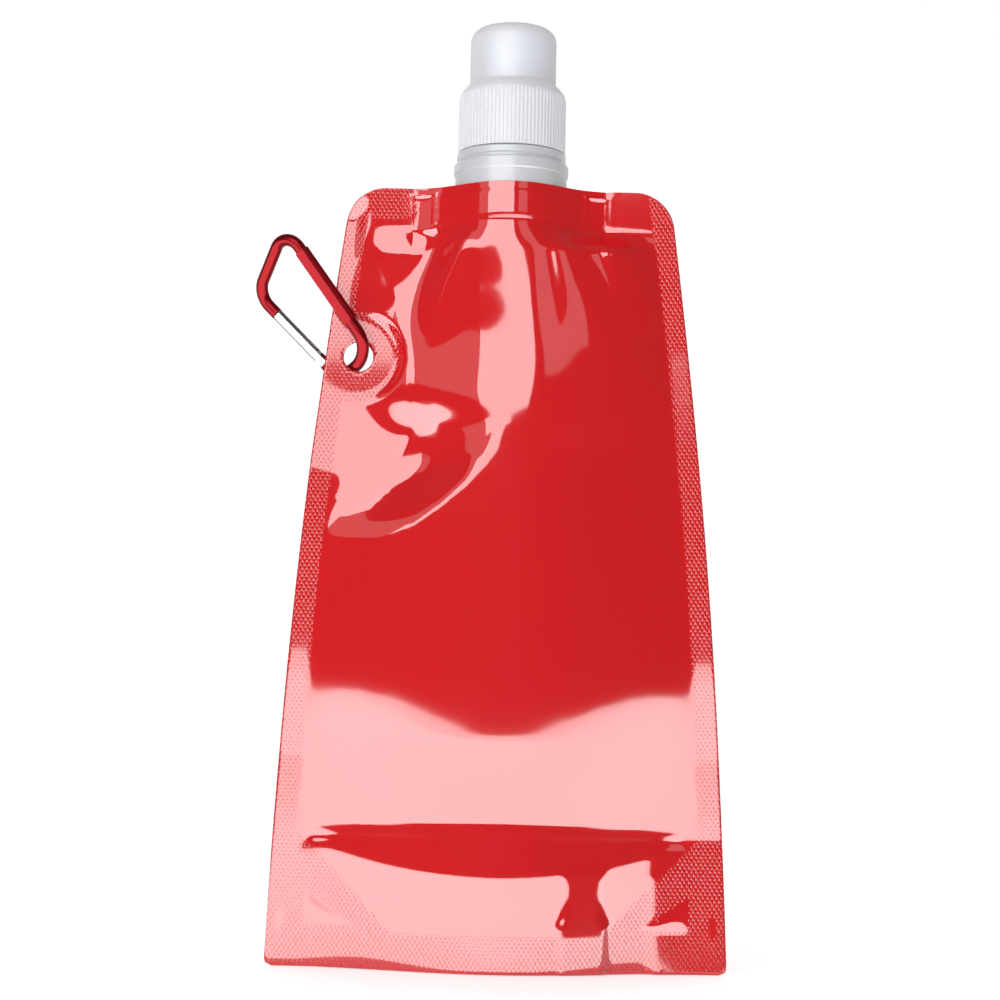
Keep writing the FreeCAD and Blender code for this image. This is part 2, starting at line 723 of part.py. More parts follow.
gate = new_body("carabiner_gate")
bar = draw_circle(new_sketch(gate, "gate_bar_outline", "YZ_Plane", "-tongue_radius"), "gate_radius")
pad(gate, "gate_bar", bar, "gate_length + tongue_radius")
fork = new_sketch(gate, "fork_outline", "XZ_Plane")
FORK_HALF = "(tongue_thickness / 2 + tongue_clearance)"
draw_outline(fork, [("-(tongue_radius + 1)", "-" + FORK_HALF), ("fork_depth", "-" + FORK_HALF),
                    ("fork_depth", FORK_HALF), ("-(tongue_radius + 1)", FORK_HALF)])
pocket(gate, "fork", fork, "gate_radius * 4", both_ways=True)
drilling = draw_circle(new_sketch(gate, "spring_bore_outline", "YZ_Plane", "fork_depth + spring_bore_depth"),
                       "spring_bore_radius")
pocket(gate, "spring_bore", drilling, "spring_bore_depth + fork_depth + tongue_radius + 1")
pin_hole = draw_circle(new_sketch(gate, "pin_hole_outline", "XY_Plane"), "rivet_radius + rivet_clearance")
pocket(gate, "pin_hole", pin_hole, "gate_radius * 4", both_ways=True)
HEAD_SEAT = "gate_radius - 0.2"
for name, up in (("head_seat_top", True), ("head_seat_under", False)):
    seat = new_sketch(gate, name + "_outline", "XY_Plane", HEAD_SEAT if up else "-(" + HEAD_SEAT + ")")
    draw_circle(seat, "rivet_head_radius + 0.15")
    pocket(gate, name, seat, "1", reverse=up)
gate.Placement = carabiner_place * gate_turn

rivet = new_body("gate_rivet")
shank = draw_circle(new_sketch(rivet, "shank_outline", "XY_Plane"), "rivet_radius")
pad(rivet, "shank", shank, "(" + HEAD_SEAT + " + rivet_clearance + 0.1) * 2", both_ways=True)
for name, up in (("head_top", True), ("head_under", False)):
    level = "(" + HEAD_SEAT + " + rivet_clearance)"
    head = new_sketch(rivet, name + "_outline", "XY_Plane", level if up else "-" + level)
    draw_circle(head, "rivet_head_radius")
    pad(rivet, name, head, "rivet_head_height", reverse=not up)
rivet.Placement = carabiner_place * gate_turn

plunger = new_body("gate_plunger")
PLUNGER_AT = "tongue_radius + plunger_tip_gap"
PLUNGER_RADIUS = "spring_bore_radius - nozzle_clearance"
stem = draw_circle(new_sketch(plunger, "plunger_outline", "YZ_Plane", PLUNGER_AT), PLUNGER_RADIUS)
pad(plunger, "plunger_stem", stem, "plunger_length")
plunger.Placement = carabiner_place * gate_turn


def gate_spring():
    """The closing spring in the gate's bore, behind the plunger."""
    wire_size = size("spring_wire_radius")
    start = size("tongue_radius") + size("plunger_tip_gap") + size("plunger_length") + wire_size + 0.05
    end = size("fork_depth") + size("spring_bore_depth") - wire_size - 0.05
    coil = size("spring_bore_radius") - wire_size - 0.1
    path = Part.Wire(Part.makeHelix((end - start) / size("spring_coils"), end - start, coil).Edges)
    section = Part.Wire([Part.makeCircle(wire_size, V(coil, 0, 0), V(0, 1, 0))])
    solid = path.makePipeShell([section], True, True)
    solid.rotate(V(0, 0, 0), V(0, 1, 0), 90)
    solid.translate(V(start, 0, 0))
    piece = doc.addObject("Part::Feature", "gate_spring")
    piece.Label = "gate_spring"
    piece.Shape = solid
    piece.Placement = carabiner_place * gate_turn * piece.Placement
    NODES.append(piece)


gate_spring()

# ---- checks and files ----------------------------------------------------------------------------

doc.recompute()
for item in doc.Objects:
    if "Invalid" in item.State or "Error" in item.State:
        raise RuntimeError("%s did not build: %s" % (item.Label, item.State))
os.makedirs("parts", exist_ok=True)
for node in NODES:
    shape = node.Shape
    if shape.isNull() or not shape.isValid():
        raise RuntimeError("%s has no valid shape" % node.Label)
    if len(shape.Solids) != 1:
        raise RuntimeError("%s is %d solids" % (node.Label, len(shape.Solids)))
    box = shape.BoundBox
    print("%-20s volume %9.2f mm3  x %.2f..%.2f  y %.2f..%.2f  z %.2f..%.2f" % (
        node.Label, shape.Volume, box.XMin, box.XMax, box.YMin, box.YMax, box.ZMin, box.ZMax))
for node in NODES:
    node.Shape.exportStep("parts/%s.step" % node.Label)
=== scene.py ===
import bmesh
import bpy
import json
import math
from mathutils import Matrix, Vector


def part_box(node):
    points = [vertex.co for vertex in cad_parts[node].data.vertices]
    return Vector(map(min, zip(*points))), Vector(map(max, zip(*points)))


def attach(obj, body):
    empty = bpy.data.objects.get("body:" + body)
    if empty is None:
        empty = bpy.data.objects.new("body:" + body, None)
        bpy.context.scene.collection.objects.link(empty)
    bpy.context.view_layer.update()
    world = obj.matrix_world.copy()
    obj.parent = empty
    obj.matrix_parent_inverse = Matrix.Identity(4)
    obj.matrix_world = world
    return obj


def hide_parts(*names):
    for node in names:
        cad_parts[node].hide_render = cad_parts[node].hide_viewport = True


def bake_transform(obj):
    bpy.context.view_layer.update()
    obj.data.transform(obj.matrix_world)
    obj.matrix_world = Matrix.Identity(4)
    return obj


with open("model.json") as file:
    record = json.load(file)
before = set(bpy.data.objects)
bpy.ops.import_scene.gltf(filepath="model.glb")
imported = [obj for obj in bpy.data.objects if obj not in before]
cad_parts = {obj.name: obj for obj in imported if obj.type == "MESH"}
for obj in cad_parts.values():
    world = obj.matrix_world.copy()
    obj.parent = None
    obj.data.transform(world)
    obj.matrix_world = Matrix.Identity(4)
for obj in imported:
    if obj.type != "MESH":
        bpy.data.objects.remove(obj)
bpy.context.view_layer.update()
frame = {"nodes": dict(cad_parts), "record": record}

# Folding water bottle: a glossy laminate pouch that stands on its opened bottom gusset, with a
# moulded spout, a sports cap and a small snap carabiner. Shapes are worked out in millimetres.

MM = 0.001


# ---- where the frame puts things ---------------------------------------------------------------

def far_corner(node):
    """The high corner of a node's box, in millimetres."""
    return [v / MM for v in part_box(node)[1]]


joints = {j["name"]: j for j in frame["record"]["behaviour"]["joints"]}
HOLE_X = joints["carabiner_swing"]["pos_m"][0] / MM
HOLE_Z = joints["carabiner_swing"]["pos_m"][2] / MM
HEIGHT = far_corner("front_panel_upper")[2]
BASE_HALF = far_corner("front_panel_lower")[0]

# the spout's weld: its round middle, its tip, and how far the film stands off it
WELD_RADIUS = 15.6
WELD_TIP = 26.5
WELD_SKIN = 0.15

# the pouch's outline, film and seals
TOP_HALF = 44.2
SIDE_BULGE = 3.0
FILM = 0.22
FACE_GAP = 0.05
SIDE_SEAL = 5.8
SHOULDER_SEAL = 8.0
HEM_SEAL = 9.5
TOP_ROUND = 9.5
HEM_ROUND = 2.0
HOLE_RADIUS = 4.1
ISLAND = 11.5

# the foot: the gusset's fold at the sides, and the shallow valley that it pulls into the panels
GUSSET_Z = 36.0
HEM_DEPTH = 16.1
VALLEY_SAG = 10.3
VALLEY_TOP = 36.6
VALLEY_RISE = 4.2
VALLEY_LEAN = 0.07
CREASE_Z = 35.4


# ---- curves ------------------------------------------------------------------------------------

def smooth(value, start, end):
    """0 before start, 1 after end, smooth between."""
    t = min(max((value - start) / (end - start), 0.0), 1.0)
    return t * t * (3 - 2 * t)


def bump_at(value, middle, width):
    """A bell, 1 at the middle."""
    return math.exp(-((value - middle) / width) ** 2)


def curve_through(points, x):
    """A smooth curve through a few points, flat past its ends."""
    if x <= points[0][0]:
        return points[0][1]
    if x >= points[-1][0]:
        return points[-1][1]
    i = next(k for k in range(len(points) - 1) if x <= points[k + 1][0])

    def slope(k):
        if k <= 0 or k >= len(points) - 1:
            return 0.0
        return (points[k + 1][1] - points[k - 1][1]) / (points[k + 1][0] - points[k - 1][0])
    x0, y0 = points[i]
    x1, y1 = points[i + 1]
    span = x1 - x0
    t = (x - x0) / span
    return ((2 * t ** 3 - 3 * t ** 2 + 1) * y0 + (t ** 3 - 2 * t ** 2 + t) * span * slope(i)
            + (-2 * t ** 3 + 3 * t ** 2) * y1 + (t ** 3 - t ** 2) * span * slope(i + 1))


# ---- the pouch's shape -------------------------------------------------------------------------

def half_width(z):
    """Half the pouch's width, its sides bowed out a little."""
    t = z / HEIGHT
    return BASE_HALF + (TOP_HALF - BASE_HALF) * t + SIDE_BULGE * 4 * t * (1 - t)


def outline(z):
    """Half width with the corners rounded."""
    wide = half_width(z)
    for edge, radius in ((HEIGHT, TOP_ROUND), (0.0, HEM_ROUND)):
        into = radius - abs(edge - z)
        if into > 0:
            wide -= radius - math.sqrt(max(radius * radius - into * into, 0.0))
    return wide


# the panel's depth at the middle up the belly, as (height, depth)
BELLY = [(64, 17.9), (105, 17.4), (140, 16.95), (154, 16.85), (180, 15.95), (205, 15.75)]
# how square or pointed the cross-section is, as (height, power)
FULLNESS = [(0, 2.2), (38, 2.2), (62, 1.38), (90, 1.2), (150, 1.2), (185, 1.03), (215, 1.03)]
# where the belly's crest runs up the front, as (height, x)
RIDGE = [(60, 0), (138, 0), (150, 2.5), (168, 5.5), (186, 3.0), (204, 0)]


def trunk_depth(z, u, tight=0.0):
    """The panel's depth on its way up: upright hem, shallow valley at the gusset fold, belly."""
    valley_low = GUSSET_Z - VALLEY_SAG * (1 - u * u)
    valley_high = VALLEY_TOP + VALLEY_RISE * math.sqrt(1 - u * u)
    round_off = (1 - u * u) ** (curve_through(FULLNESS, z) + tight)
    drop = VALLEY_LEAN * (min(max(z, valley_low), valley_high) - valley_low)
    belly_z, belly = BELLY[0]
    rise = math.sin(math.pi / 2 * min(max((z - valley_high) / (belly_z - valley_high), 0.0), 1.0))
    top = belly if z < belly_z else curve_through(BELLY, z)
    full = (HEM_DEPTH + (top - HEM_DEPTH) * rise) * round_off
    return full - drop * (1 - rise) * smooth(1 - u, 0, 0.06)


def weld_depth(x):
    """The film over the spout's boat-shaped weld: a half round with its two tangents."""
    r = WELD_RADIUS + WELD_SKIN
    touch = r * r / WELD_TIP
    if abs(x) <= touch:
        return math.sqrt(r * r - x * x)
    rise = math.sqrt(r * r - touch * touch)
    along = min((abs(x) - touch) / (WELD_TIP - touch), 1.0)
    return rise * (1 - along)


# the inner edge of the slack shoulder, as (height, x), and how much its facets lean
SLACK_EDGE = [(146, -31.0), (155, -31.0), (176, -31.0), (187, -28.0), (201, -23.0)]
WEDGE_LEAN = 0.06
FACET_LEAN = 0.10
PLEAT_DEPTH = 0.5
# the fold under it, as (x, height): its half width in the middle, and what the seal's end adds
FOLD_NARROW = 2.6
FOLD_SPREAD = 9.0
FOLD_PATH = [(-46, 128.5), (-36, 128.5), (-28.2, 129.6), (-20.7, 132.0), (-13.2, 135.0), (-6.6, 139.0),
             (-3.0, 143.0), (-1.0, 149)]


def off_path(x, z, path):
    """How far a place is above a line of points, and how far along it the nearest place is, 0 to 1."""
    best = (1e9, 0.0)
    for i in range(len(path) - 1):
        (x0, z0), (x1, z1) = path[i], path[i + 1]
        dx, dz = x1 - x0, z1 - z0
        t = min(max(((x - x0) * dx + (z - z0) * dz) / (dx * dx + dz * dz), 0.0), 1.0)
        best = min(best, (math.hypot(x - x0 - t * dx, z - z0 - t * dz), (i + t) / (len(path) - 1)))
    sign = 1 if z > curve_through(path, x) else -1
    return best[0] * sign, best[1]


def over_fold(x, z):
    """0 under the fold that runs from the left seal to the middle, 1 above it; wide at the seal."""
    above, along = off_path(x, z, FOLD_PATH)
    wide = FOLD_NARROW + FOLD_SPREAD * (1 - smooth(along, 0.1, 0.8))
    return smooth(above, -wide, wide)


def front_slack(x, z, depth):
    """The front's left shoulder hangs slack: a flat facet and a wedge by the seal, over a soft fold."""
    inward = max(half_width(z) - SIDE_SEAL + x, 0.0)
    edge = curve_through(SLACK_EDGE, z)
    # the slack's inner edge spreads out on the way down
    soften = max(150 - z, 0.0)
    sunk = (1 - smooth(x, edge, edge + 11 + soften)) * over_fold(x, z)
    wedge = WEDGE_LEAN * max(178 + inward - z, 0.0) * smooth(inward, 6, 11) * smooth(z, 140, 165)
    flat = (0.5 + FACET_LEAN * inward + wedge) * smooth(inward, 0, 6)
    depth = depth * (1 - sunk) + min(flat, depth) * sunk
    # a pleat runs down from the weld's other tip
    pleat_x = 26 + (203 - z) * 0.27
    pleat = bump_at(x, pleat_x, 2.4) * smooth(z, 172, 190) * (1 - smooth(z, 197, 204))
    return depth + PLEAT_DEPTH * pleat


CORNER_TUCK = 0.12
# how much steeper the front stands beside its crest, all along and at the fold
TIGHT = 1.1
TIGHT_AT_FOLD = 2.0
# flutes, pinches, the leaning strip of the foot, and the marks of the sealing tools
FLUTE_DEPTH = 0.5
FLUTE_ANGLE = math.radians(11)
PINCH_DEPTH = 0.5
STRIP_X = 23.5
STRIP_HALF = 4.6
STRIP_TOP = 29.0
STRIP_LEAN = 0.07
WING_DEPTH = 0.3
COLLAR_STEP = 0.28


def film_depth(x, z, side):
    """How far the film's inner face stands off the seal plane."""
    reach = half_width(z) - SIDE_SEAL
    reach -= CORNER_TUCK * max(26.0 - z, 0.0)
    u = min(abs(x) / reach, 1.0)
    tight = 0.0
    if side < 0:
        off_ridge = x - curve_through(RIDGE, z) * (1 - u * u)
        u = min(abs(off_ridge) / reach, 1.0)
        tight = TIGHT + TIGHT_AT_FOLD * bump_at(z, 144, 9)
        tight *= over_fold(x, z) * smooth(-off_ridge, -2, 6) * (1 - smooth(z, 196, 206))
    depth = trunk_depth(z, u, tight)
    # the gusset's fold leaves a crease line, sharpest at its two ends
    crease = math.exp(-abs(z - CREASE_Z) / 1.2) * smooth(1 - u, 0.0, 0.06)
    depth -= (0.05 + 0.5 * smooth(u, 0.75, 0.97)) * crease
    # flutes fan out from the spout's weld
    swing = math.atan2(x, HEIGHT + 18 - z)
    fade = smooth(z, 150, 192) * (1 - smooth(z, 198, 206)) * smooth(abs(x), 6, 14)
    depth += FLUTE_DEPTH * fade * math.cos(swing / FLUTE_ANGLE * math.pi) * smooth(1 - u, 0, 0.3)
    if side < 0:
        depth = front_slack(x, z, depth)
    # the film is pinched in just under the weld's two tips
    at_tip = smooth(abs(x), 17, 21) * (1 - smooth(abs(x), 26, 30))
    depth -= PINCH_DEPTH * bump_at(z, 202.6, 1.9) * at_tip
    to_weld = smooth(z, 196, 204.5)
    depth = depth * (1 - to_weld) + weld_depth(x) * to_weld
    # an upright strip of the front's foot leans back, waisted at its middle
    if side < 0 and z < STRIP_TOP + 1:
        half = STRIP_HALF + 0.03 * (max(z, 13.0) - 20) ** 2
        lean = STRIP_LEAN * max(STRIP_TOP - max(z, HEM_SEAL), 0.0)
        depth += lean * (1 - smooth(abs(x - STRIP_X), half - 1, half + 1.5))
    # the unsealed corner windows bulge
    if z < 40:
        depth += (0.14 if x < 0 else 0.3) * smooth(-corner_window(x, z), 0, 3)
    # press marks where the weld's wings end
    wing = max(abs(abs(x) - 24.0) - 3.0, abs(z - 208.5) - 4.8)
    depth += WING_DEPTH * bump_at(wing, 0, 0.7)
    # the sealing jaw leaves a step round the collar
    jaw = smooth(z, 204.8, 205.6) - smooth(z, 212.4, 213.2)
    depth += COLLAR_STEP * jaw * (1 - smooth(abs(x), 18, 21))
    # flat round the punched hole
    away = math.hypot(x - HOLE_X, z - HOLE_Z)
    depth *= smooth(away, ISLAND - 1, ISLAND + (2.0 if side < 0 else 6.0))
    return max(depth, 0.0)


WINDOW_OUT = 53.0
WINDOW_IN = 37.0
WINDOW_FOOT = 11.0
WINDOW_SLOPE = 0.667


def corner_window(x, z):
    """Roughly the distance to the smooth triangle left unsealed in each lower corner, minus inside."""
    above = (z - WINDOW_FOOT) - (abs(x) - WINDOW_IN) * WINDOW_SLOPE
    return max(abs(x) - WINDOW_OUT, WINDOW_FOOT - z, above * 0.83)


# how far the side seals bow forward, as (height, distance)
SEAL_BOW_LEFT = [(0, 0), (56, 0), (66, 0.3), (84, 1.05), (104, 1.5), (138, 2.4), (150, 2.0),
                 (162, 0.35), (170, 0.2), (192, 1.5), (215, 2.85), (240, 4.3)]
SEAL_BOW_RIGHT = [(0, 0), (56, 0), (66, 0.3), (84, 1.05), (106, 1.35), (125, 1.4), (170, 1.3),
                  (192, 2.2), (215, 3.55), (240, 5.0)]
CORNER_LEAN = 0.075


def seal_bow(x, z):
    """How far forward of its plane the side seals bow; the foot's right corner leans back."""
    line = SEAL_BOW_LEFT if x < 0 else SEAL_BOW_RIGHT
    full_at = half_width(z) - SIDE_SEAL
    full_at += (30.0 - full_at) * smooth(z, 172, 202)
    bow = curve_through(line, z) * smooth(abs(x), 18, full_at)
    bow *= smooth(math.hypot(x - HOLE_X, z - HOLE_Z), 9, 36)
    if x < 0:
        # the seal's edge stays flat where the carabiner's wire swings past it
        swept = smooth(z, 172, 182) * (1 - smooth(z, 206, 213))
        bow *= 1 - swept * (1 - smooth(half_width(z) + x, 2.0, 7.0))
    return bow + CORNER_LEAN * max(GUSSET_Z - z, 0.0) * smooth(x, 40, 45)


def seal_mark(x, z):
    """1 where the sealing bars have knurled the film."""
    edge = half_width(z) - abs(x)
    marks = [1 - smooth(edge, SIDE_SEAL - 0.6, SIDE_SEAL + 0.4),
             1 - smooth(z, HEM_SEAL - 0.6, HEM_SEAL + 0.4)]
    across = ((abs(x) - 54.0) - (z - 35.0)) * math.sqrt(0.5)
    if z < GUSSET_Z:
        marks.append(smooth(across, -0.5, 0.5))
    if x < 0:
        shoulder = 1 - smooth(HEIGHT - z, SHOULDER_SEAL - 0.6, SHOULDER_SEAL + 0.6)
        marks.append(shoulder * smooth(-x, 24, 32))
    away = math.hypot(x - HOLE_X, z - HOLE_Z)
    marks.append(1 - smooth(away, ISLAND, ISLAND + 1.2))
    notch = math.hypot((edge - 3.4) / 1.2, (z - 12.8) / 5.3)
    plain_film = max(1 - smooth(corner_window(x, z), -0.6, 0.4), 1 - smooth(notch, 0.8, 1.0))
    return max(marks) * (1 - plain_film)


ROWS = 262
COLUMNS = 150
EVEN_ROWS = 0.93
FLAT_SCALE = 10


def row_height(t):
    """Rows are even, and closer together round the top corners."""
    if t <= EVEN_ROWS:
        return (HEIGHT - TOP_ROUND) * t / EVEN_ROWS
    return HEIGHT - TOP_ROUND + TOP_ROUND * math.sin((t - EVEN_ROWS) / (1 - EVEN_ROWS) * math.pi / 2)


def as_piece(name, bm, material):
    mesh = bpy.data.meshes.new(name)
    bm.to_mesh(mesh)
    bm.free()
    piece = bpy.data.objects.new(name, mesh)
    bpy.context.scene.collection.objects.link(piece)
    piece.data.materials.append(material)
    for face in mesh.polygons:
        face.use_smooth = True
    return piece


def film_panel(name, side, material):
    """One printed film panel; side is -1 in front and +1 behind.

    Its "flat" UV holds the place on the sheet, and its "seal" attribute where it is knurled."""
    bm = bmesh.new()
    flat = bm.loops.layers.uv.new("flat")
    seal = bm.verts.layers.float.new("seal")
    bmesh.ops.create_grid(bm, x_segments=COLUMNS, y_segments=ROWS, size=1.0)
    place = {}
    for v in bm.verts:
        z = row_height((v.co.y + 1) / 2)
        place[v] = (v.co.x * outline(z), z)
    inside = [f for f in bm.faces
              if math.hypot(sum(place[v][0] for v in f.verts) / 4 - HOLE_X,
                            sum(place[v][1] for v in f.verts) / 4 - HOLE_Z) < HOLE_RADIUS]
    bmesh.ops.delete(bm, geom=inside, context="FACES")
    rim = {v for v in bm.verts if v.is_boundary
           and math.hypot(place[v][0] - HOLE_X, place[v][1] - HOLE_Z) < HOLE_RADIUS + 2}
    for v in rim:
        x, z = place[v][0] - HOLE_X, place[v][1] - HOLE_Z
        out = HOLE_RADIUS / math.hypot(x, z)
        place[v] = (HOLE_X + x * out, HOLE_Z + z * out)
    for face in bm.faces:
        for loop in face.loops:
            loop[flat].uv = (place[loop.vert][0] * MM * FLAT_SCALE, place[loop.vert][1] * MM * FLAT_SCALE)
    for v in bm.verts:
        x, z = place[v]
        v[seal] = seal_mark(x, z)
        y = side * (FACE_GAP + FILM + film_depth(x, z, side)) - seal_bow(x, z)
        v.co = Vector((x, y, z)) * MM
    if side > 0:
        bmesh.ops.reverse_faces(bm, faces=bm.faces)
    bm.normal_update()
    bmesh.ops.solidify(bm, geom=bm.faces[:], thickness=FILM * MM)
    return as_piece(name, bm, material)


GUSSET_MARGIN = 3.0
ARCH = 0.8
CREST_MIDDLE = 23
CREST_RISE = 11
STRIP_FOOT = 0.4


def gusset_film(material):
    """The gusset, opened to an arch across the base, with a strip down inside each hem."""
    bm = bmesh.new()
    bm.loops.layers.uv.new("flat")
    bmesh.ops.create_grid(bm, x_segments=80, y_segments=48, size=1.0)
    reach = half_width(HEM_SEAL) - SIDE_SEAL - GUSSET_MARGIN
    for v in bm.verts:
        u, w = v.co.x, v.co.y
        x = u * reach
        over = min(abs(w) / ARCH, 1)
        z_arch = HEM_SEAL + (CREST_MIDDLE + CREST_RISE * u * u - HEM_SEAL) * (1 - over ** 2)
        z_strip = HEM_SEAL * (1 - (abs(w) - ARCH) / (1 - ARCH))
        z = z_strip if abs(w) > ARCH - 0.01 else z_arch
        edge = film_depth(x, min(z, HEM_SEAL), 1) - 0.25
        y = max(edge, FACE_GAP) * over * (1 if w > 0 else -1)
        v.co = Vector((x, y, max(z, STRIP_FOOT))) * MM
    bm.normal_update()
    bmesh.ops.solidify(bm, geom=bm.faces[:], thickness=FILM * MM)
    return as_piece("gusset_film", bm, material)


# ---- materials ---------------------------------------------------------------------------------

def linear(code):
    """An sRGB hex colour as linear red, green, blue and alpha."""
    parts = [int(code[i:i + 2], 16) / 255 for i in (1, 3, 5)]
    return tuple(c / 12.92 if c <= 0.04045 else ((c + 0.055) / 1.055) ** 2.4 for c in parts) + (1.0,)


def add(material, kind, settings=None, links=None):
    """A node with its settings, and its inputs linked from other nodes' outputs."""
    node = material.node_tree.nodes.new(kind)
    for name, value in (settings or {}).items():
        if isinstance(name, int) or name in node.inputs:
            node.inputs[name].default_value = value
        else:
            setattr(node, name, value)
    for name, source in (links or {}).items():
        material.node_tree.links.new(source, node.inputs[name])
    return node


def new_material(name):
    material = bpy.data.materials.new(name)
    material.use_nodes = True
    material.node_tree.nodes.clear()
    return material


def finish_material(material, shader):
    out = add(material, "ShaderNodeOutputMaterial")
    material.node_tree.links.new(shader.outputs["BSDF"], out.inputs["Surface"])
    return material


STUD_PITCH = 1.27
STUD_REPEAT = 2.0
STUD_DEPTH = 0.16


def printed_film():
    """Reverse-printed laminate: saturated red ink under a clear face with hard, pale reflections,
    dotted where the knurled seal bars have pressed it."""
    m = new_material("reverse_printed_laminate")
    uv = add(m, "ShaderNodeUVMap", {"uv_map": "flat"})
    split = add(m, "ShaderNodeSeparateXYZ", None, {"Vector": uv.outputs["UV"]})
    # the seal bars leave staggered pressed dots, in rows half STUD_REPEAT apart
    turns = [2 * math.pi / (gap * MM * FLAT_SCALE) for gap in (STUD_PITCH, STUD_REPEAT)]
    across = add(m, "ShaderNodeMath", {"operation": "MULTIPLY", 1: turns[0]})
    along = add(m, "ShaderNodeMath", {"operation": "MULTIPLY", 1: turns[1]})
    m.node_tree.links.new(split.outputs["X"], across.inputs[0])
    m.node_tree.links.new(split.outputs["Y"], along.inputs[0])
    wave_x = add(m, "ShaderNodeMath", {"operation": "COSINE"}, {0: across.outputs[0]})
    wave_y = add(m, "ShaderNodeMath", {"operation": "COSINE"}, {0: along.outputs[0]})
    studs = add(m, "ShaderNodeMath", {"operation": "MULTIPLY"}, {0: wave_x.outputs[0], 1: wave_y.outputs[0]})
    mark = add(m, "ShaderNodeAttribute", {"attribute_name": "seal"})
    peaks = add(m, "ShaderNodeMath", {"operation": "MAXIMUM", 1: 0.0}, {0: studs.outputs[0]})
    pressed = add(m, "ShaderNodeMath", {"operation": "MULTIPLY"},
                  {0: peaks.outputs[0], 1: mark.outputs["Fac"]})
    knurl = add(m, "ShaderNodeBump", {"Strength": 1.0, "Distance": STUD_DEPTH * MM},
                {"Height": pressed.outputs[0]})
    # slack in the laminate: shallow ripples some 14 mm across
    where = add(m, "ShaderNodeTexCoord")
    ripple = add(m, "ShaderNodeTexNoise", {"Scale": 1 / (14 * MM), "Detail": 1.5, "Roughness": 0.4},
                 {"Vector": where.outputs["Object"]})
    slack = add(m, "ShaderNodeBump", {"Strength": 0.25, "Distance": 0.25 * MM},
                {"Height": ripple.outputs["Fac"], "Normal": knurl.outputs["Normal"]})
    # the ink lies a little uneven
    ink = add(m, "ShaderNodeTexNoise", {"Scale": 1 / (30 * MM), "Detail": 2.0},
              {"Vector": where.outputs["Object"]})
    tone = add(m, "ShaderNodeMix", {"data_type": "RGBA"}, {"Factor": ink.outputs["Fac"]})
    tone.inputs[6].default_value = linear("#D3141A")
    tone.inputs[7].default_value = linear("#D8161B")
    shader = add(m, "ShaderNodeBsdfPrincipled",
                 {"Roughness": 0.07, "IOR": 1.5, "Coat Weight": 1.0, "Coat Roughness": 0.05, "Coat IOR": 1.5},
                 {"Base Color": tone.outputs[2], "Normal": slack.outputs["Normal"]})
    return finish_material(m, shader)


def plain(name, colour, roughness, grain=None, **more):
    """A moulded or metal finish with a fine surface grain: (size in mm, depth in mm)."""
    m = new_material(name)
    where = add(m, "ShaderNodeTexCoord")
    settings = {"Base Color": linear(colour), "Roughness": roughness}
    settings.update(more)
    shader = add(m, "ShaderNodeBsdfPrincipled", settings)
    if grain:
        pits = add(m, "ShaderNodeTexNoise", {"Scale": 1 / (grain[0] * MM), "Detail": 2.0},
                   {"Vector": where.outputs["Object"]})
        skin = add(m, "ShaderNodeBump", {"Strength": 1.0, "Distance": grain[1] * MM},
                   {"Height": pits.outputs["Fac"]})
        m.node_tree.links.new(skin.outputs["Normal"], shader.inputs["Normal"])
    return finish_material(m, shader)


film = printed_film()
METAL = {"Metallic": 1.0}
NODE_FINISH = {
    # waxy grey-white, soft wide highlights on its rings
    "spout": plain("natural_low_density_polyethylene", "#CDCFD3", 0.22, (2.0, 0.01), **{"IOR": 1.51}),
    # clean white with a dull satin sheen, the ribs show only by their shade
    "screw_cap": plain("white_moulded_polypropylene", "#DEDFE3", 0.42, (0.8, 0.006), **{"IOR": 1.49}),
    # the same white, a little shinier where lips polish it
    "pull_nozzle": plain("white_moulded_polypropylene_nozzle", "#DEDFE3", 0.38, (0.8, 0.006),
                         **{"IOR": 1.49}),
    # matt foam, faintly pitted
    "cap_liner": plain("expanded_polyethylene_foam", "#ECECEA", 0.8, (0.5, 0.05)),
    # misty and half clear, the nozzle shows through as a paler shape
    "dust_cap": plain("frosted_polypropylene", "#E9EAEE", 0.36, (0.6, 0.004),
                      **{"IOR": 1.35, "Transmission Weight": 0.5}),
    # deep wine red with crisp lighter streaks along the wire
    "carabiner_frame": plain("bright_dipped_red_anodised_aluminium", "#740A12", 0.22, (0.5, 0.003),
                             **{"Metallic": 0.5, "IOR": 1.2}),
    # bare silver, slightly clouded by tumbling
    "carabiner_gate": plain("tumbled_aluminium", "#A9AAAD", 0.24, (0.4, 0.003), **METAL),
    "gate_rivet": plain("tumbled_aluminium_rivet", "#C9CACC", 0.35, (0.4, 0.003), **METAL),
    # brighter, harder reflections than the aluminium
    "gate_plunger": plain("ground_steel_pin", "#BFC0C2", 0.25, (0.3, 0.002), **METAL),
    "gate_spring": plain("spring_steel_wire", "#A9AAAC", 0.3, (0.3, 0.002), **METAL),
}
for node, material in NODE_FINISH.items():
    for slot in frame["nodes"][node].material_slots:
        slot.material = material


# ---- pieces ------------------------------------------------------------------------------------

front = film_panel("front_film", -1, film)
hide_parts("front_panel_lower", "front_panel_upper")
back = film_panel("back_film", 1, film)
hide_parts("back_panel_lower", "back_panel_upper")
for sheet in (front, back):
    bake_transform(sheet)
gusset = gusset_film(film)
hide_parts("bottom_gusset")
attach(gusset, "lower_pouch")


# ---- floor, light and camera, in metres --------------------------------------------------------

FLOOR_FRONT = -1.6
FLOOR_LONG = 4.6
FLOOR_HALF_WIDE = 4.0
CURVE_FROM = 0.6
CURVE_RISE = 0.9
FLOOR_DROP = 0.0002


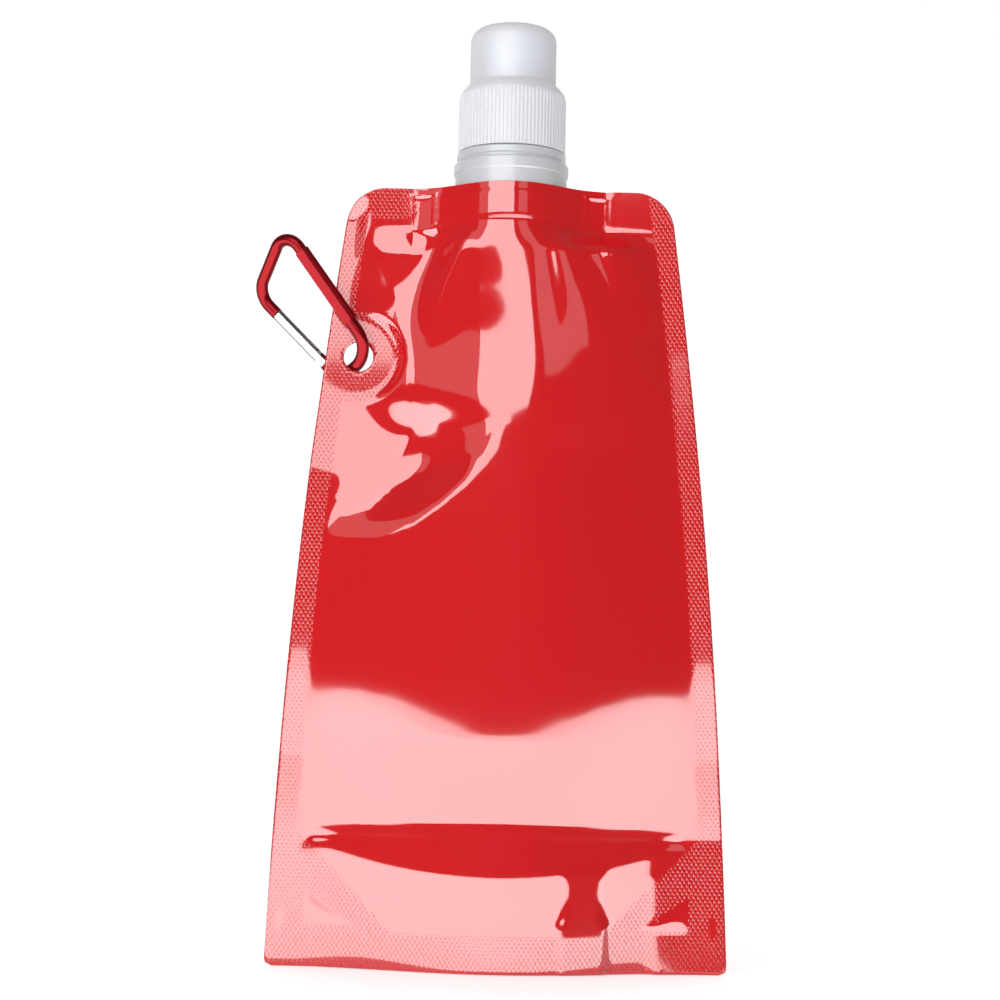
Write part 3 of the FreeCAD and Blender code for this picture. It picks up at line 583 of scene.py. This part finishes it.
def sweep():
    """A pale floor that curves up into the backdrop."""
    bm = bmesh.new()
    bmesh.ops.create_grid(bm, x_segments=2, y_segments=40, size=1.0)
    for v in bm.verts:
        t = (v.co.y + 1) / 2
        along = FLOOR_FRONT + t * FLOOR_LONG
        up = max(along - CURVE_FROM, 0.0) ** 2 * CURVE_RISE
        v.co = Vector((v.co.x * FLOOR_HALF_WIDE, along, up - FLOOR_DROP))
    # matt white paper, lit a little from behind so that its shadows stay light
    paper = plain("pale_paper", "#F2F2F2", 0.9, **{"Emission Color": (1, 1, 1, 1), "Emission Strength": 0.45})
    floor = as_piece("floor_sweep", bm, paper)


def lamp(name, middle, towards, wide, high, radiance, shows):
    """A rectangular light; shows is "shine" for a card seen only in reflections, or "fill"."""
    data = bpy.data.lights.new(name, "AREA")
    data.shape = "RECTANGLE"
    data.size = wide
    data.size_y = high
    data.energy = radiance * wide * high * math.pi
    item = bpy.data.objects.new(name, data)
    bpy.context.scene.collection.objects.link(item)
    item.location = middle
    item.rotation_euler = (Vector(towards) - Vector(middle)).to_track_quat("-Z", "Y").to_euler()
    item.visible_camera = False
    item.visible_diffuse = shows == "fill"
    item.visible_glossy = shows == "shine"
    return item


# the height on the pouch that the cards are placed for, and how bright the two big ones are
SHINE_EYE = 0.17
SHINE = 5.2
CARD_LOW = 0.030
CARD_TILT = 0.0376


def card(name, azimuths, elevations, far, radiance):
    """A card seen from the pouch between two bearings (0 in front, minus to the left) and heights."""
    turn = math.radians(sum(azimuths) / 2)
    low, high = (far * math.tan(math.radians(e)) for e in elevations)
    wide = 2 * far * math.tan(math.radians(abs(azimuths[1] - azimuths[0])) / 2)
    eye = Vector((0, 0, SHINE_EYE))
    out = Vector((math.sin(turn), -math.cos(turn), 0))
    middle = eye + out * far + Vector((0, 0, (low + high) / 2))
    return lamp(name, middle, middle - out, wide, high - low, radiance, "shine")


sweep()
world = bpy.data.worlds.new("studio")
world.use_nodes = True
background = world.node_tree.nodes["Background"]
background.inputs["Color"].default_value = (1, 1, 1, 1)
background.inputs["Strength"].default_value = 0.12
bpy.context.scene.world = world
card("high_left_card", (-46, 7), (8.5, 48), 1.3, SHINE)
lamp("low_front_card", (0, -0.81, CARD_LOW), (0, -0.81 + CARD_TILT, 1 + CARD_LOW), 3.0, 1.58, SHINE, "shine")
card("right_window", (16, 34), (11, 34), 1.5, 0.9)
card("left_window", (-66, -47), (8, 40), 1.5, 0.7)
lamp("key_fill", (-0.9, -1.3, 1.1), (0, 0, 0.12), 1.2, 1.2, 1.8, "fill")
lamp("front_fill", (-0.3, -1.8, 0.6), (0, 0, 0.12), 1.6, 1.2, 1.8, "fill")
lamp("top_fill", (0, 0.2, 1.7), (0, 0, 0), 2.0, 2.0, 1.0, "fill")

camera_data = bpy.data.cameras.new("camera")
camera = bpy.data.objects.new("camera", camera_data)
bpy.context.scene.collection.objects.link(camera)
bpy.context.scene.camera = camera
CAMERA_FAR = 0.72
CAMERA_AT = Vector((-0.0008, -CAMERA_FAR, 0.060))
PITCH = math.radians(3.95)
ROLL = math.radians(1.2)
SENSOR = 36
FIELD = 0.2755
camera.location = CAMERA_AT
look = Vector((0, math.cos(PITCH), math.sin(PITCH))).to_track_quat("-Z", "Y").to_matrix().to_4x4()
camera.rotation_euler = (look @ Matrix.Rotation(ROLL, 4, "Z")).to_euler()
camera_data.sensor_width = SENSOR
camera_data.lens = SENSOR * CAMERA_FAR / FIELD
camera_data.shift_y = 0.0695
camera_data.clip_start = 0.01
scene = bpy.context.scene
scene.view_settings.view_transform = "Standard"
scene.view_settings.look = "None"
